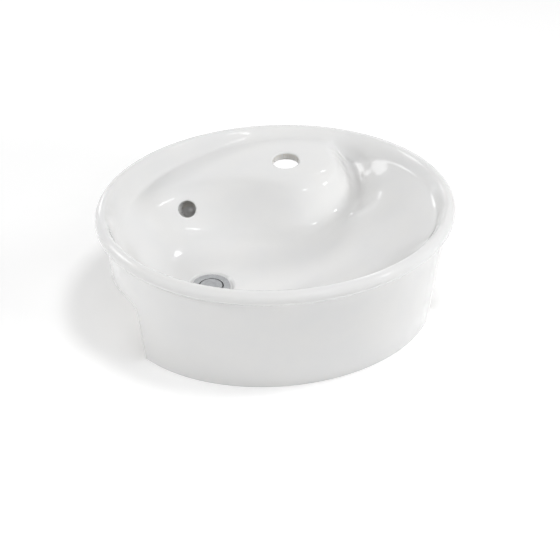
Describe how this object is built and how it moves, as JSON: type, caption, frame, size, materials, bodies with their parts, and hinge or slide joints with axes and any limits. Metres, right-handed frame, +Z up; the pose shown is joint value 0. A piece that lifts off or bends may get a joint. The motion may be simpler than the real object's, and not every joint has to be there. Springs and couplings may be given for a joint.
{
  "type": "washbasin",
  "caption": "Oval semi-recessed washbasin in white glazed china with a swirl tap ledge, front apron, rear counter notch, overflow and a push-open waste with sliding stopper.",
  "frame": {"origin": "under the middle of the rim's oval, on the plane of the apron's base", "axes": "+X to the user's right along the wide side, -Y towards the user, +Z up"},
  "size_m": [0.4596, 0.4116, 0.1579],
  "materials": {
    "china": "clear glossy glaze over white china, unglazed ground base",
    "chrome": "polished chrome plate",
    "rubber": "matt black",
    "washer_plastic": "natural nylon",
    "brass": "machined",
    "cartridge_plastic": "moulded",
    "latch_plastic": "moulded",
    "steel": "drawn stainless wire and rod"
  },
  "bodies": {
    "basin": {"ceramic_basin": "china", "waste_body": "chrome", "flange_seal": "rubber", "lower_seal": "rubber", "slip_washer": "washer_plastic", "back_nut": "brass", "cartridge_barrel": "cartridge_plastic", "plunger_ring": "rubber", "cartridge_nut": "brass", "barrel_plug": "cartridge_plastic", "cartridge_spring": "steel"},
    "stopper": {"stopper_cap": "chrome", "stopper_seal": "rubber", "stem_nut": "brass", "stopper_stem": "steel", "plunger": "brass"},
    "latch": {"latch_rotor": "latch_plastic"}
  },
  "joints": [
    {"name": "stopper_slide", "type": "slide", "parent": "basin", "child": "stopper", "axis": [0, 0, 1], "range_m": [0, 0.008], "deforming": ["cartridge_spring"]},
    {"name": "latch_turn", "type": "hinge", "parent": "stopper", "child": "latch", "pos_m": [-0.093, -0.023, 0.025], "axis": [0, 0, 1], "range_deg": [0, 45]}
  ],
  "couplings": [
    {"joint": "latch_turn", "follows": "stopper_slide", "rad_per_m": 98.175}
  ]
}
